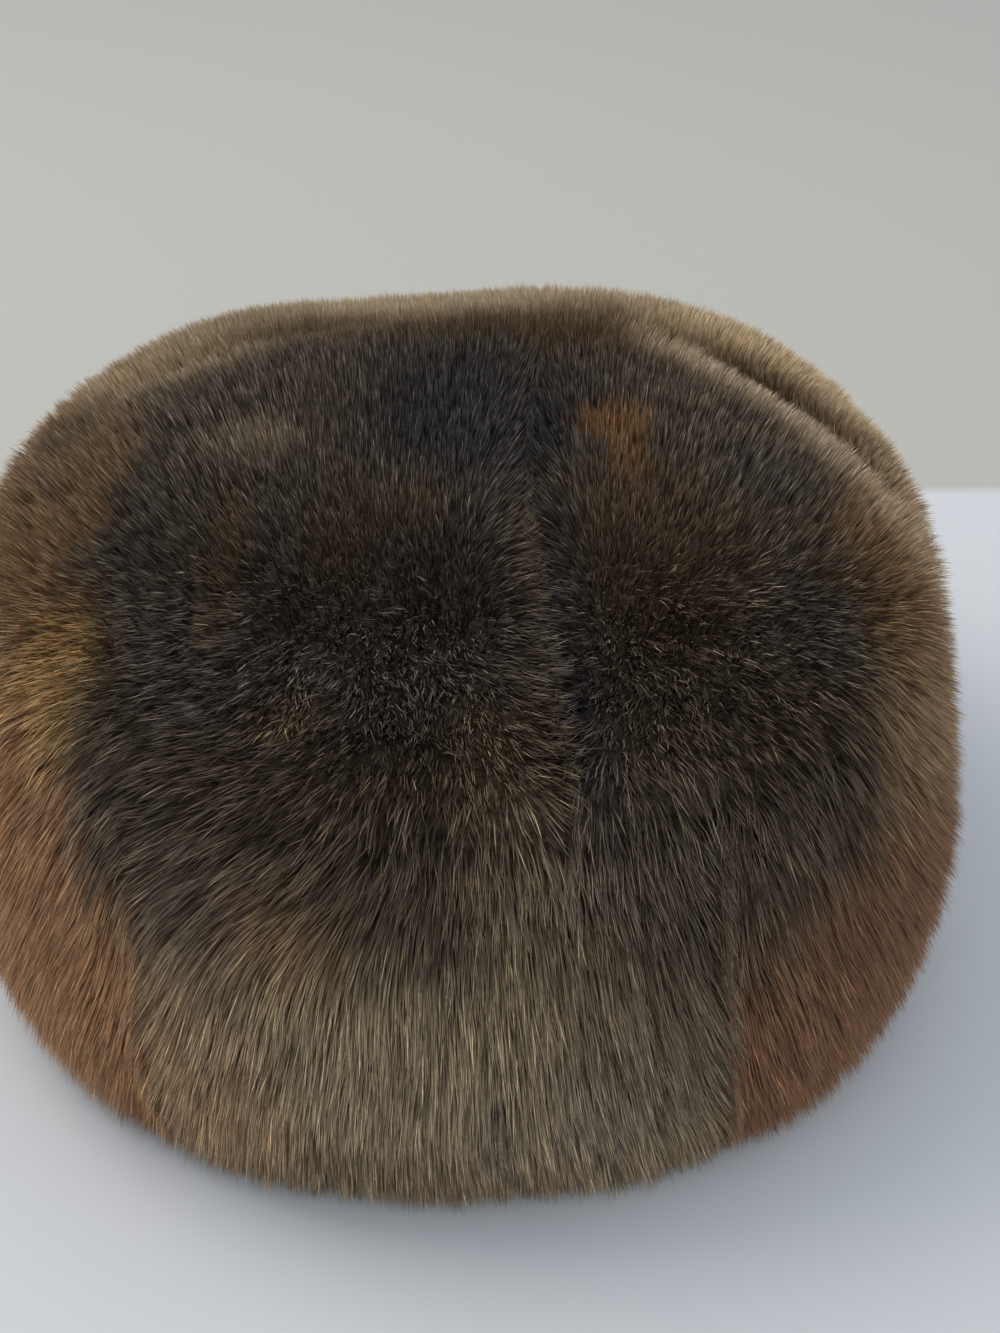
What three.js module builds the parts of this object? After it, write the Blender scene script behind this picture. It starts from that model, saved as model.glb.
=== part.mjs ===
// A short-haired fur hat. Four pelt panels are sewn into a band and three pelt pieces into a domed crown.
// Each piece is a hide whose fur stands in locks that lie down towards the rim.
// Millimetres, +Z up, the front towards -Y. The origin lies under the middle of the hat, level with the rim.
import * as THREE from 'three';
import { mergeVertices } from 'three/addons/utils/BufferGeometryUtils.js';

// Sizes of the whole hat, over the tips of the fur
const halfWidth = 102;
const halfLength = 119;
const height = 104;
const bandHeight = 76;

// The outline from above is an oval a little squarer than an ellipse, whose own power would be 2
const ovalPower = 2.3;

// The pelt and how it is sewn
const peltDepth = 16;
const seamGap = 0.3;

// A lock of fur: its breadth, its length down the nap and how far its tip stands above the partings round it
const lockBreadth = 8;
const lockLength = 9;
const lockRelief = 2.4;

// Where a lock's tip stands in its cell, as shares: half its stray to either side, its place up the cell, how far
// that place varies, and how much of its relief a low tip loses
const lockTip = { stray: 0.36, place: 0.12, vary: 0.24, sink: 0.4 };

// The side view: reach as a share of the half width or half length, level as a share of the height
const sideView = [
  { level: 0, reach: 0.93 },
  { level: 0.12, reach: 0.99 },
  { level: 0.3, reach: 1.02 },
  { level: 0.5, reach: 1.005 },
  { level: 0.68, reach: 0.97 },
  { level: 0.82, reach: 0.92 },
  { level: 0.93, reach: 0.68 },
  { level: 0.985, reach: 0.43 },
  { level: 1, reach: 0 },
];

// The four seams up the band: turns from the front in degrees, at levels as shares of the band's height
const bandSeams = [
  { level: 0, rightFront: 30, rightBack: 122, leftBack: 232, leftFront: 328 },
  { level: 0.4, rightFront: 26, rightBack: 123, leftBack: 231, leftFront: 328 },
  { level: 0.7, rightFront: 25, rightBack: 124, leftBack: 230, leftFront: 328.5 },
  { level: 1, rightFront: 26.5, rightBack: 125, leftBack: 229, leftFront: 327 },
];

// The band's panels, in turn; swell is the rise of the fur between the seams, as a share of the pelt's depth
const bandPanels = [
  { name: 'band_front', from: 'leftFront', to: 'rightFront', swell: 0.12, colour: '#5a4a3a' },
  { name: 'band_right', from: 'rightFront', to: 'rightBack', swell: 0.06, colour: '#5e3f29' },
  { name: 'band_back', from: 'rightBack', to: 'leftBack', swell: 0.08, colour: '#4c3b2c' },
  { name: 'band_left', from: 'leftBack', to: 'leftFront', swell: 0.06, colour: '#7a5638' },
];
const bandValley = { depth: 0.14, breadth: 0.3 };

// The band's soft dents: the turn in degrees and the level as a share of its height, how far each spreads in the
// same units, and the rise as a share of the pelt's depth
const bandForms = [
  { turn: 319, spread: 18, level: 0.12, tall: 0.45, rise: -0.22 },
  { turn: 82, spread: 22, level: 0.68, tall: 0.25, rise: -0.12 },
];

// The crown's seams run from one junction down to their feet on the band. A foot is a turn from the front in
// degrees, a bow is a share of the half width, and a valley's depth and breadth are shares of the pelt's depth.
// Bows and swells are fullest half-way. A valley deepens from the junction on and is full at a share of its run.
// Valleys and forms fade out as they near the band.
const junction = { right: 0.25, back: 0.6 };
const fullness = (run) => Math.sin(Math.PI * run);
const formFade = (run) => 1 - run ** 6;
const crownSeams = {
  front: { foot: 10.5, bow: -0.07, depth: 0.34, breadth: 0.4, full: 0.6 },
  right: { foot: 77, bow: 0.11, depth: 0.3, breadth: 0.5, full: 0.4 },
  left: { foot: 262, bow: -0.03, depth: 0.08, breadth: 0.6, full: 0.3 },
};

// The crown's pieces; swell is the rise of a piece between its seams, as a share of the pelt's depth, and peak
// is where it is highest, as a share of the way across
const crownPieces = [
  { name: 'crown_front_right', from: 'front', to: 'right', swell: 0.1, peak: 0.5, colour: '#3f2f25' },
  { name: 'crown_rear', from: 'right', to: 'left', swell: 0.3, peak: 0.2, colour: '#54422f' },
  { name: 'crown_front_left', from: 'left', to: 'front', swell: 0.36, peak: 0.38, colour: '#352a20' },
];

// The crown's soft dents and rises: the place as shares of the half width and half length, and the breadth and
// the rise as shares of the pelt's depth
const crownForms = [
  { right: -0.16, back: 0.74, breadth: 2, rise: -0.32 },
  { right: -0.55, back: 0.62, breadth: 1.9, rise: 0.26 },
  { right: 0.86, back: 0.3, breadth: 1.2, rise: -0.25 },
  { right: 0.2, back: 0.5, breadth: 1.6, rise: 0.14 },
];

const mix = THREE.MathUtils.lerp;
const radians = THREE.MathUtils.degToRad;

// The side view as a fine polyline from the rim to the top
const sideLine = new THREE.SplineCurve(
  sideView.map(({ level, reach }) => new THREE.Vector2(reach, level * height)),
).getPoints(240);

// Reads one coordinate of a polyline where the other one passes a value
function readLine(line, known, value, wanted) {
  for (let k = 1; k < line.length; k += 1) {
    const before = line[k - 1];
    const after = line[k];
    if ((before[known] - value) * (after[known] - value) <= 0 && before[known] !== after[known]) {
      return mix(before[wanted], after[wanted], (value - before[known]) / (after[known] - before[known]));
    }
  }
  return line[line.length - 1][wanted];
}

const reachAt = (z) => readLine(sideLine, 'y', z, 'x');
const ringReach = reachAt(bandHeight);
const domeLine = [new THREE.Vector2(ringReach, bandHeight), ...sideLine.filter((point) => point.y > bandHeight)];
const domeHeight = (reach) => readLine(domeLine, 'x', Math.min(reach, ringReach), 'y');

// How far the oval reaches towards a turn from the front, against an ellipse through the same four ends
const ovalReach = (turn) => (
  Math.abs(Math.sin(turn)) ** ovalPower + Math.abs(Math.cos(turn)) ** ovalPower
) ** (-1 / ovalPower);

// How much of a seam's valley is left at a distance from it
const valleyShare = (distance, breadth) => Math.exp(-((distance / (breadth * peltDepth)) ** 2));

// The rise of the band's forms at a turn in radians and a level
function bandForm(turn, level) {
  return bandForms.reduce((sum, form) => {
    const aside = THREE.MathUtils.euclideanModulo(turn - radians(form.turn) + Math.PI, 2 * Math.PI) - Math.PI;
    const away = (aside / radians(form.spread)) ** 2 + ((level - form.level) / form.tall) ** 2;
    return sum + form.rise * Math.exp(-away);
  }, 0);
}

// The rise of the crown's forms at a point seen from above
function crownForm(point) {
  return crownForms.reduce((sum, form) => {
    const middle = new THREE.Vector2(form.right * halfWidth, form.back * halfLength);
    return sum + form.rise * valleyShare(point.distanceTo(middle), form.breadth);
  }, 0);
}

// A repeatable value from 0 to 1 for a lock's column, row and use
function scatter(column, row, use) {
  const wave = Math.sin(column * 12.9898 + row * 78.233 + use * 37.719) * 43758.5453;
  return wave - Math.floor(wave);
}

// The turn of one of the band's seams at a share of the band's height, in radians
function bandSeamTurn(seam, level) {
  const above = Math.max(1, bandSeams.findIndex((row) => row.level >= level));
  const low = bandSeams[above - 1];
  const high = bandSeams[above];
  return radians(mix(low[seam], high[seam], (level - low.level) / (high.level - low.level)));
}

// A point of a band panel: across from seam to seam, up from rim to crown, depth in from the tips of the fur
function placeOnBand(panel, across, up, depth) {
  const z = up * (bandHeight - seamGap / 2);
  const reach = reachAt(z);
  const round = reach * (halfWidth + halfLength) / 2;
  const slit = seamGap / 2 / (round - peltDepth);
  const from = bandSeamTurn(panel.from, up) + slit;
  let to = bandSeamTurn(panel.to, up) - slit;
  if (to < from) {
    to += 2 * Math.PI;
  }
  const turn = mix(from, to, across);
  const side = reach * ovalReach(turn);
  const seamDistance = Math.min(across, 1 - across) * (to - from) * round;
  const swell = panel.swell * Math.sin(Math.PI * across) * Math.sin(Math.PI * up);
  const valley = bandValley.depth * valleyShare(seamDistance, bandValley.breadth);
  const rise = (swell + bandForm(turn, up) - valley) * (peltDepth - depth);
  return new THREE.Vector3(
    (side * halfWidth - depth + rise) * Math.sin(turn),
    -(side * halfLength - depth + rise) * Math.cos(turn),
    z,
  );
}

// The crown's junction and a point of the ring where the crown meets the band, seen from above
const junctionPoint = new THREE.Vector2(junction.right * halfWidth, junction.back * halfLength);
const ringPoint = (turn, depth) => new THREE.Vector2(
  (ringReach * ovalReach(turn) * halfWidth - depth) * Math.sin(turn),
  -(ringReach * ovalReach(turn) * halfLength - depth) * Math.cos(turn),
);

// How far a crown seam bows aside at a share of its run from the junction to its foot
function seamBow(seam, run) {
  const course = ringPoint(radians(seam.foot), 0).sub(junctionPoint).normalize();
  const side = new THREE.Vector2(-course.y, course.x);
  return side.multiplyScalar(seam.bow * halfWidth * fullness(run));
}

const seamPoint = (seam, run, depth) => ringPoint(radians(seam.foot), depth).sub(junctionPoint)
  .multiplyScalar(run).add(junctionPoint).add(seamBow(seam, run));

// The direction to the left of a crown seam, looking from the junction to its foot
function seamSide(seam, run, depth) {
  const step = 0.01;
  const ahead = seamPoint(seam, Math.min(1, run + step), depth);
  const course = ahead.sub(seamPoint(seam, Math.max(0, run - step), depth)).normalize();
  return new THREE.Vector2(-course.y, course.x);
}

// A point of a crown piece seen from above: across from seam to seam, run from the junction to the ring
function planOfCrown(first, last, across, run, depth) {
  const lastTurn = last.foot + (last.foot < first.foot ? 360 : 0);
  const turn = radians(mix(first.foot, lastTurn, across));
  const plan = ringPoint(turn, depth).sub(junctionPoint).multiplyScalar(run).add(junctionPoint);
  plan.add(seamBow(first, run).lerp(seamBow(last, run), across));
  if (run === 0) {
    return plan.addScaledVector(pieceHeading(first, last), seamGap);
  }
  plan.addScaledVector(seamSide(first, run, depth), (1 - across) * seamGap / 2);
  return plan.addScaledVector(seamSide(last, run, depth), -across * seamGap / 2);
}

// A point of a crown piece: across from seam to seam, up from band to junction, depth in from the fur's tips
function placeOnCrown(piece, across, up, depth) {
  const first = crownSeams[piece.from];
  const last = crownSeams[piece.to];
  const run = 1 - up;
  const tips = planOfCrown(first, last, across, run, 0);
  const plan = planOfCrown(first, last, across, run, depth);
  const valley = Math.max(...Object.values(crownSeams).map((seam) => (
    seam.depth * Math.min(1, run / seam.full) ** 2
      * valleyShare(tips.distanceTo(seamPoint(seam, run, 0)), seam.breadth)
  )));
  const skewed = across ** (Math.log(0.5) / Math.log(piece.peak));
  const swell = piece.swell * Math.sin(Math.PI * skewed) * fullness(run);
  const rise = (swell + (crownForm(tips) - valley) * formFade(run)) * (peltDepth - depth);
  const reach = (
    Math.abs(tips.x / halfWidth) ** ovalPower + Math.abs(tips.y / halfLength) ** ovalPower
  ) ** (1 / ovalPower);
  const dome = domeHeight(reach) - bandHeight;
  const ringLevel = bandHeight + seamGap / 2;
  return new THREE.Vector3(
    plan.x,
    plan.y,
    ringLevel + dome * (1 - depth / (height - bandHeight)) + rise,
  );
}

// The direction from the junction into the piece between two seams
function pieceHeading(first, last) {
  const start = 0.02;
  const opening = seamPoint(first, start, 0).sub(junctionPoint).angle();
  let closing = seamPoint(last, start, 0).sub(junctionPoint).angle();
  if (closing < opening) {
    closing += 2 * Math.PI;
  }
  const middle = (opening + closing) / 2;
  return new THREE.Vector2(Math.cos(middle), Math.sin(middle));
}

// Closes a piece: locks of fur outside, the hide's smooth face inside, and a wall round the edge
function sewPiece(columns, rows, place) {
  const corners = [];
  const addFace = (a, b, c) => {
    const narrow = 1e-4;
    if (a.distanceTo(b) > narrow && b.distanceTo(c) > narrow && c.distanceTo(a) > narrow) {
      corners.push(a, b, c);
    }
  };
  const addQuad = (a, b, c, d) => {
    addFace(a, b, c);
    addFace(a, c, d);
  };
  const parting = (column, row) => place(column / columns, row / rows, lockRelief);
  const hide = (column, row) => place(column / columns, row / rows, peltDepth);
  const tipOf = (column, row) => place(
    (column + 0.5 + lockTip.stray * (scatter(column, row, 1) - 0.5)) / columns,
    (row + lockTip.place + lockTip.vary * scatter(column, row, 2)) / rows,
    lockTip.sink * lockRelief * scatter(column, row, 3),
  );
  for (let row = 0; row < rows; row += 1) {
    for (let column = 0; column < columns; column += 1) {
      const ring = [[0, 0], [1, 0], [1, 1], [0, 1]].map(([i, j]) => parting(column + i, row + j));
      const tip = tipOf(column, row);
      ring.forEach((corner, k) => addFace(corner, ring[(k + 1) % 4], tip));
      addQuad(hide(column, row), hide(column, row + 1), hide(column + 1, row + 1), hide(column + 1, row));
    }
  }
  // Both walls of a seam are split along the same diagonal, so that neighbours stay clear of each other
  for (let row = 0; row < rows; row += 1) {
    addQuad(hide(0, row), parting(0, row), parting(0, row + 1), hide(0, row + 1));
    addQuad(hide(columns, row), hide(columns, row + 1), parting(columns, row + 1), parting(columns, row));
  }
  for (let column = 0; column < columns; column += 1) {
    addQuad(hide(column, 0), hide(column + 1, 0), parting(column + 1, 0), parting(column, 0));
    addQuad(parting(column, rows), parting(column + 1, rows), hide(column + 1, rows), hide(column, rows));
  }
  return mergeVertices(new THREE.BufferGeometry().setFromPoints(corners), 1e-3);
}

// A piece of pelt as a named mesh in its own colour
function makePiece({ name, colour }, span, rise, place) {
  const columns = Math.round(span / lockBreadth);
  const rows = Math.round(rise / lockLength);
  const fur = new THREE.MeshStandardMaterial({ color: colour, roughness: 0.9, metalness: 0, flatShading: true });
  const mesh = new THREE.Mesh(sewPiece(columns, rows, place), fur);
  mesh.name = name;
  return mesh;
}

// The length round the hat between two turns given in degrees
function lengthBetween(from, to) {
  const turn = radians((to - from + 360) % 360);
  return turn * (halfWidth + halfLength) / 2;
}

const furHat = new THREE.Group();
furHat.name = 'fur_hat';
for (const panel of bandPanels) {
  const foot = bandSeams[0];
  const span = lengthBetween(foot[panel.from], foot[panel.to]);
  furHat.add(makePiece(panel, span, bandHeight, (across, up, depth) => placeOnBand(panel, across, up, depth)));
}
for (const piece of crownPieces) {
  const span = lengthBetween(crownSeams[piece.from].foot, crownSeams[piece.to].foot);
  const rise = (halfWidth + halfLength) / 2 * ringReach;
  furHat.add(makePiece(piece, span, rise, (across, up, depth) => placeOnCrown(piece, across, up, depth)));
}

export default furHat;
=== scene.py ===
# A short-haired fur hat on a pale table. Each pelt is a hide with its underfur, and hairs stand in it singly.
# Everything is in metres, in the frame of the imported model: +Z up, the front towards -Y.
import math
import bpy
import numpy as np
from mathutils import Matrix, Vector


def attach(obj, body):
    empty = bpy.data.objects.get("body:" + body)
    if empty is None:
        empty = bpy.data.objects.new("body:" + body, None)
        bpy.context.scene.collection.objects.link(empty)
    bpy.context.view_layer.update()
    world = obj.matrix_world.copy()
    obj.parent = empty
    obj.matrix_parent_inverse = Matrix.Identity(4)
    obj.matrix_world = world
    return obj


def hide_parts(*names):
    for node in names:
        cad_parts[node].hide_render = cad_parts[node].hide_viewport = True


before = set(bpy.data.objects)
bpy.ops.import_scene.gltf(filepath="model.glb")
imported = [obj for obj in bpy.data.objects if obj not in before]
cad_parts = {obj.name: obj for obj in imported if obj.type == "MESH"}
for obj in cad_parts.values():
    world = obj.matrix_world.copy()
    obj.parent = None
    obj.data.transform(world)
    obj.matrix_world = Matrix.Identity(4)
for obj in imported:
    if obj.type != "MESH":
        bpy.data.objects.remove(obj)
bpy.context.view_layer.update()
mm = 0.001

# The hat over the tips of its fur; the side view gives levels as shares of the height, and reaches as shares
# of the halves
hat = {
    "halfWidth": 0.102, "halfLength": 0.119, "height": 0.104, "bandHeight": 0.076,
    "ovalPower": 2.3,          # 2 would be an ellipse
    "peltDepth": 0.016,        # hide and standing fur together
    "seamGap": 0.0003,
    "levels": (0, 0.12, 0.3, 0.5, 0.68, 0.82, 0.93, 0.985, 1),
    "reaches": (0.93, 0.99, 1.02, 1.005, 0.97, 0.92, 0.68, 0.43, 0),
}

# The seams up the band, in degrees from the front towards +X, at levels as shares of the band's height
bandSeams = {
    "levels": (0, 0.4, 0.7, 1),
    "rightFront": (30, 26, 25, 26.5),
    "rightBack": (122, 123, 124, 125),
    "leftBack": (232, 231, 230, 229),
    "leftFront": (328, 328, 328.5, 327),
}
bandValley = {"depth": 0.14, "breadth": 0.3}

# Soft dents and rises of the band: where in degrees and as a share of its height, and how far they spread
bandForms = [
    {"turn": 319, "spread": 18, "level": 0.12, "tall": 0.45, "rise": -0.22},
    {"turn": 82, "spread": 22, "level": 0.68, "tall": 0.25, "rise": -0.12},
]

# The crown's seams run from one junction down to the band; bows are shares of the half width, and a valley
# deepens from the junction on and is full at a share of its run
junction = {"right": 0.25, "back": 0.6}
crownSeams = {
    "front": {"foot": 10.5, "bow": -0.07, "depth": 0.34, "breadth": 0.4, "full": 0.6},
    "right": {"foot": 77, "bow": 0.11, "depth": 0.3, "breadth": 0.5, "full": 0.4},
    "left": {"foot": 262, "bow": -0.03, "depth": 0.08, "breadth": 0.6, "full": 0.3},
}

# Soft dents and rises of the crown: places as shares of the halves, breadths and rises as shares of the
# pelt's depth
crownForms = [
    {"right": -0.16, "back": 0.74, "breadth": 2, "rise": -0.32},
    {"right": -0.55, "back": 0.62, "breadth": 1.9, "rise": 0.26},
    {"right": 0.86, "back": 0.3, "breadth": 1.2, "rise": -0.25},
    {"right": 0.2, "back": 0.5, "breadth": 1.6, "rise": 0.14},
]

# The pelts, each between two seams; swell is its rise between them and peak where it is highest
pelts = {
    "band_front": {
        "kind": "band", "from": "leftFront", "to": "rightFront", "swell": 0.12, "slot": "fur_grey_brown",
    },
    "band_right": {
        "kind": "band", "from": "rightFront", "to": "rightBack", "swell": 0.06, "slot": "fur_russet",
    },
    "band_back": {
        "kind": "band", "from": "rightBack", "to": "leftBack", "swell": 0.08, "slot": "fur_grey_brown",
    },
    "band_left": {
        "kind": "band", "from": "leftBack", "to": "leftFront", "swell": 0.06, "slot": "fur_russet",
    },
    "crown_front_right": {
        "kind": "crown", "from": "front", "to": "right", "swell": 0.1, "peak": 0.5, "slot": "fur_dark",
    },
    "crown_rear": {
        "kind": "crown", "from": "right", "to": "left", "swell": 0.3, "peak": 0.2, "slot": "fur_dark",
    },
    "crown_front_left": {
        "kind": "crown", "from": "left", "to": "front", "swell": 0.36, "peak": 0.38, "slot": "fur_dark",
    },
}


# Shape of the hat

def smoothLine(knots, count):
    # A uniform Catmull-Rom curve through the knots, with its first and last knot doubled
    knots = np.asarray(knots, float)
    last = len(knots) - 1
    run = np.linspace(0, last, count + 1)
    k = np.minimum(run.astype(int), last - 1)
    t = (run - k)[:, None]
    p0, p1, p2, p3 = (knots[np.clip(k + step, 0, last)] for step in (-1, 0, 1, 2))
    v0, v1 = (p2 - p0) / 2, (p3 - p1) / 2
    return (2 * p1 - 2 * p2 + v0 + v1) * t**3 + (-3 * p1 + 3 * p2 - 2 * v0 - v1) * t**2 + v0 * t + p1


sideKnots = [(reach, level * hat["height"]) for reach, level in zip(hat["reaches"], hat["levels"])]
sideLine = smoothLine(sideKnots, 240)
ringReach = np.interp(hat["bandHeight"], sideLine[:, 1], sideLine[:, 0])
domeKnots = sideLine[sideLine[:, 1] > hat["bandHeight"]]
domeReach = np.append(domeKnots[::-1, 0], ringReach)
domeLevel = np.append(domeKnots[::-1, 1], hat["bandHeight"])


def ovalReach(turn):
    # The oval's reach towards a turn: (|sin|^p + |cos|^p)^(-1/p)
    power = hat["ovalPower"]
    return (abs(np.sin(turn)) ** power + abs(np.cos(turn)) ** power) ** (-1 / power)


def valleyShare(distance, breadth):
    # What is left of a seam's valley at a distance from it: exp(-(distance / breadth)^2)
    return np.exp(-((distance / (breadth * hat["peltDepth"])) ** 2))


def placeOnBand(pelt, across, up, depth):
    # Across from seam to seam, up from rim to crown, depth in from the tips: the side view's reach at this
    # level times the oval's reach at this turn, less the depth, plus the swell, less the seam's valley
    z = up * (hat["bandHeight"] - hat["seamGap"] / 2)
    reach = np.interp(z, sideLine[:, 1], sideLine[:, 0])
    round = reach * (hat["halfWidth"] + hat["halfLength"]) / 2
    slit = hat["seamGap"] / 2 / (round - hat["peltDepth"])
    start = np.radians(np.interp(up, bandSeams["levels"], bandSeams[pelt["from"]])) + slit
    end = np.radians(np.interp(up, bandSeams["levels"], bandSeams[pelt["to"]])) - slit
    end = np.where(end < start, end + 2 * np.pi, end)
    turn = start + (end - start) * across
    side = reach * ovalReach(turn)
    seamDistance = np.minimum(across, 1 - across) * (end - start) * round
    swell = pelt["swell"] * np.sin(np.pi * across) * np.sin(np.pi * up)
    valley = bandValley["depth"] * valleyShare(seamDistance, bandValley["breadth"])
    form = 0
    for part in bandForms:
        aside = (turn - math.radians(part["turn"]) + np.pi) % math.tau - np.pi
        aside = aside / math.radians(part["spread"])
        above = (up - part["level"]) / part["tall"]
        form = form + part["rise"] * np.exp(-(aside**2) - above**2)
    rise = (swell + form - valley) * (hat["peltDepth"] - depth)
    return np.stack([
        (side * hat["halfWidth"] - depth + rise) * np.sin(turn),
        -(side * hat["halfLength"] - depth + rise) * np.cos(turn),
        z + 0 * turn,
    ], axis=-1)


junctionPoint = np.array([junction["right"] * hat["halfWidth"], junction["back"] * hat["halfLength"]])


def fullness(run):
    return np.sin(np.pi * run)


def ringPoint(turn, depth):
    reach = ringReach * ovalReach(turn)
    return np.stack([
        (reach * hat["halfWidth"] - depth) * np.sin(turn),
        -(reach * hat["halfLength"] - depth) * np.cos(turn),
    ], axis=-1)


def leftOf(course):
    course = course / np.linalg.norm(course, axis=-1, keepdims=True)
    return np.stack([-course[..., 1], course[..., 0]], axis=-1)


def seamBow(seam, run):
    # How far the seam bows to its left: bow * half width * sin(pi * run)
    course = ringPoint(np.radians(seam["foot"]), 0) - junctionPoint
    return leftOf(course) * (seam["bow"] * hat["halfWidth"] * fullness(run))[..., None]


def seamPoint(seam, run, depth):
    foot = ringPoint(np.radians(seam["foot"]) + 0 * depth, depth)
    return junctionPoint + (foot - junctionPoint) * run[..., None] + seamBow(seam, run)


def asideOf(seam, points):
    # How far points lie to the left of a crown seam, seen from above, and at which share of its run
    course = ringPoint(np.radians(seam["foot"]), 0) - junctionPoint
    away = points[:, :2] - junctionPoint
    run = np.clip(away @ course / (course @ course), 0, 1)
    return away @ leftOf(course) - seam["bow"] * hat["halfWidth"] * fullness(run), run


def seamSide(seam, run, depth):
    step = 0.01
    ahead = seamPoint(seam, np.minimum(1, run + step), depth)
    return leftOf(ahead - seamPoint(seam, np.maximum(0, run - step), depth))


def pieceHeading(first, last):
    # The direction from the junction into the pelt between two seams
    start = np.array(0.02)
    toFirst = seamPoint(first, start, np.array(0.0)) - junctionPoint
    toLast = seamPoint(last, start, np.array(0.0)) - junctionPoint
    opening = math.atan2(toFirst[1], toFirst[0]) % math.tau
    closing = math.atan2(toLast[1], toLast[0]) % math.tau
    middle = (opening + closing + (math.tau if closing < opening else 0)) / 2
    return np.array([math.cos(middle), math.sin(middle)])


def planOfCrown(first, last, across, run, depth):
    # From above: the line from junction to ring at the mixed turn, plus both seams' bows in their shares
    lastFoot = last["foot"] + (360 if last["foot"] < first["foot"] else 0)
    turn = np.radians(first["foot"] + (lastFoot - first["foot"]) * across)
    plan = junctionPoint + (ringPoint(turn, depth) - junctionPoint) * run[..., None]
    share = across[..., None]
    plan = plan + seamBow(first, run) * (1 - share) + seamBow(last, run) * share
    inset = seamSide(first, run, depth) * (1 - share) - seamSide(last, run, depth) * share
    atJunction = (run <= 0)[..., None]
    return plan + np.where(atJunction, pieceHeading(first, last) * hat["seamGap"], inset * hat["seamGap"] / 2)


def placeOnCrown(pelt, across, up, depth):
    # Across from seam to seam, up from band to junction, depth in from the tips: the dome's height at this
    # reach, less the depth's share of it, plus the swell, less the deepest of the three seams' valleys
    across, up, depth = np.broadcast_arrays(across * 1.0, up * 1.0, depth * 1.0)
    first, last = crownSeams[pelt["from"]], crownSeams[pelt["to"]]
    run = 1 - up
    tips = planOfCrown(first, last, across, run, 0 * depth)
    plan = planOfCrown(first, last, across, run, depth)
    valley = 0 * run
    for seam in crownSeams.values():
        away = np.linalg.norm(tips - seamPoint(seam, run, 0 * depth), axis=-1)
        depthHere = seam["depth"] * np.minimum(1, run / seam["full"]) ** 2
        valley = np.maximum(valley, depthHere * valleyShare(away, seam["breadth"]))
    skewed = across ** (math.log(0.5) / math.log(pelt["peak"]))
    swell = pelt["swell"] * np.sin(np.pi * skewed) * fullness(run)
    form = 0
    for part in crownForms:
        middle = np.array([part["right"] * hat["halfWidth"], part["back"] * hat["halfLength"]])
        form = form + part["rise"] * valleyShare(np.linalg.norm(tips - middle, axis=-1), part["breadth"])
    rise = (swell + (form - valley) * (1 - run**6)) * (hat["peltDepth"] - depth)
    power = hat["ovalPower"]
    reach = (
        abs(tips[..., 0] / hat["halfWidth"]) ** power + abs(tips[..., 1] / hat["halfLength"]) ** power
    ) ** (1 / power)
    dome = np.interp(reach, domeReach, domeLevel) - hat["bandHeight"]
    level = hat["bandHeight"] + hat["seamGap"] / 2
    z = level + dome * (1 - depth / (hat["height"] - hat["bandHeight"])) + rise
    return np.concatenate([plan, z[..., None]], axis=-1)


def placeOn(pelt, across, up, depth):
    if pelt["kind"] == "band":
        return placeOnBand(pelt, *np.broadcast_arrays(across * 1.0, up * 1.0, depth * 1.0))
    return placeOnCrown(pelt, across, up, depth)


def unit(vectors):
    return vectors / np.maximum(np.linalg.norm(vectors, axis=-1, keepdims=True), 1e-12)


def leanFrame(pelt, across, up):
    # Outward normal and the way the nap lies, from small steps over the tips' surface: normal = across x up
    step = 0.004
    left, right = np.maximum(across - step, 0), np.minimum(across + step, 1)
    low, high = np.maximum(up - step, 0), np.minimum(up + step, 0.995)
    sideways = unit(placeOn(pelt, right, up, 0) - placeOn(pelt, left, up, 0))
    upwards = unit(placeOn(pelt, across, high, 0) - placeOn(pelt, across, low, 0))
    normal = unit(np.cross(sideways, upwards))
    return normal, unit(np.cross(np.cross(normal, -upwards), normal))


# Smooth random values in space

def cloud(points, size, seed):
    # Value noise from -1 to 1 whose blobs are about one size across: corners of a lattice, smoothly mixed
    table = np.random.default_rng(seed).uniform(-1, 1, (32, 32, 32))
    cell = np.floor(points / size).astype(int)
    t = points / size - cell
    t = t * t * (3 - 2 * t)
    value = 0
    for corner in range(8):
        bits = np.array([corner & 1, corner >> 1 & 1, corner >> 2 & 1])
        share = np.prod(np.where(bits, t, 1 - t), axis=-1)
        value = value + share * table[tuple(((cell + bits) % 32).T)].T
    return value


def ease(low, high, value):
    t = np.clip((value - low) / (high - low), 0, 1)
    return t * t * (3 - 2 * t)


def linear(hexColour):
    # An sRGB hex colour as linear numbers
    value = np.array([int(hexColour[k:k + 2], 16) / 255 for k in (1, 3, 5)])
    return np.where(value <= 0.04045, value / 12.92, ((value + 0.055) / 1.055) ** 2.4)


# The dyed and natural colours of the fur, some of which are also laid as painted highlights, painted backlit
# glow and painted shade: each has its shaft and its tip
dyesAndPaintedLight = {
    "brown": ("#54422f", "#a0866a"),
    "dark": ("#403730", "#bba88f"),
    "bark": ("#2f261d", "#866f56"),
    "black": ("#332d2a", "#aba091"),
    "ink": ("#292526", "#8c8783"),
    "umber": ("#574433", "#b39878"),
    "tan": ("#8f6c4a", "#cfaf86"),
    "strawAndBacklitGlow": ("#bda482", "#ecd8b4"),
    "goldAndHighlight": ("#9c7746", "#e2c08a"),
    "rust": ("#85603f", "#b8936e"),
    "orange": ("#835a38", "#c2966b"),
    "russet": ("#66442c", "#9a7051"),
    "greyTan": ("#695943", "#d6c19b"),
    "pale": ("#b8a081", "#fbe7c8"),
}

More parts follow.
